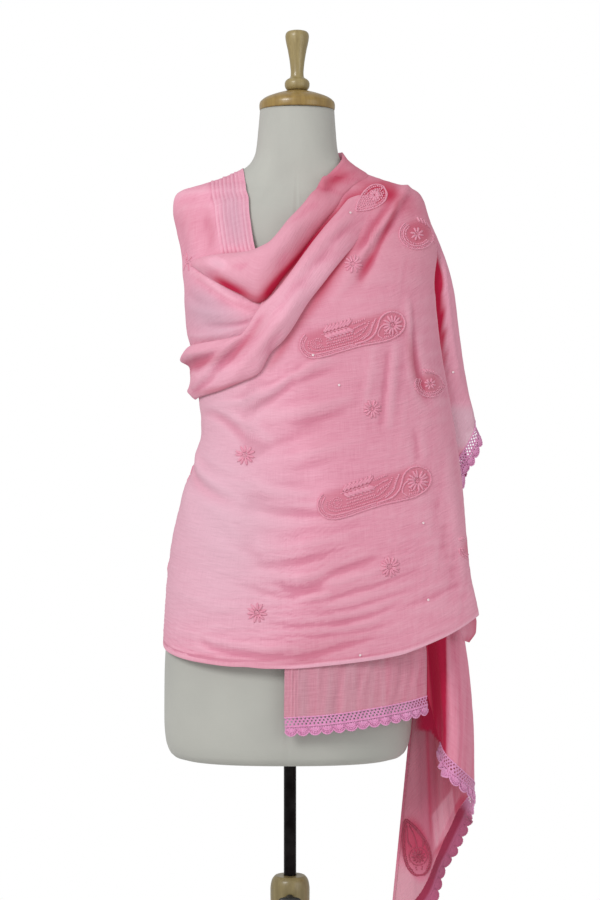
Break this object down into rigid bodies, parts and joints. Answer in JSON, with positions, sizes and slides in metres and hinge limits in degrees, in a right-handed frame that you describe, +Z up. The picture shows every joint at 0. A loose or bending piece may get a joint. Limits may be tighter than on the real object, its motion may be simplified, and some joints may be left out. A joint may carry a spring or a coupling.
{
  "type": "embroidered shawl on a dress form stand",
  "caption": "Shawl with raised paisley and flower stitching and crochet lace ends, draped round a limbless dress form on a wooden tripod stand.",
  "frame": {"origin": "on the floor, under the middle of the whole object's box, which is 12 mm to the right of the pole and 55 mm behind it", "axes": "+Z up along the pole, -Y to the front where the wrap crosses the chest, +X to the viewer's right"},
  "size_m": [0.5, 0.4252, 1.5826],
  "materials": {
    "shawl_cloth": "pink semi-sheer cotton, crinkled",
    "crochet_lace": "lilac pink crochet cotton",
    "form_cover": "cream stretched cover",
    "varnished_wood": "varnished",
    "pole_metal": "black gloss",
    "black_plastic": "black moulded"
  },
  "bodies": {
    "root": {"back_panel": "shawl_cloth", "left_shoulder_panel": "shawl_cloth", "front_panel": "shawl_cloth", "cowl_fold": "shawl_cloth", "chest_fold": "shawl_cloth", "inner_end": "shawl_cloth", "side_drape": "shawl_cloth", "side_tail": "shawl_cloth", "lace_front": "crochet_lace", "lace_side": "crochet_lace", "lace_tail": "crochet_lace", "torso": "form_cover", "neck_cap": "varnished_wood", "finial": "varnished_wood", "flange": "pole_metal", "pole": "pole_metal", "hub": "varnished_wood", "wing_screw": "black_plastic", "leg_1": "varnished_wood", "leg_2": "varnished_wood", "leg_3": "varnished_wood"}
  },
  "joints": []
}
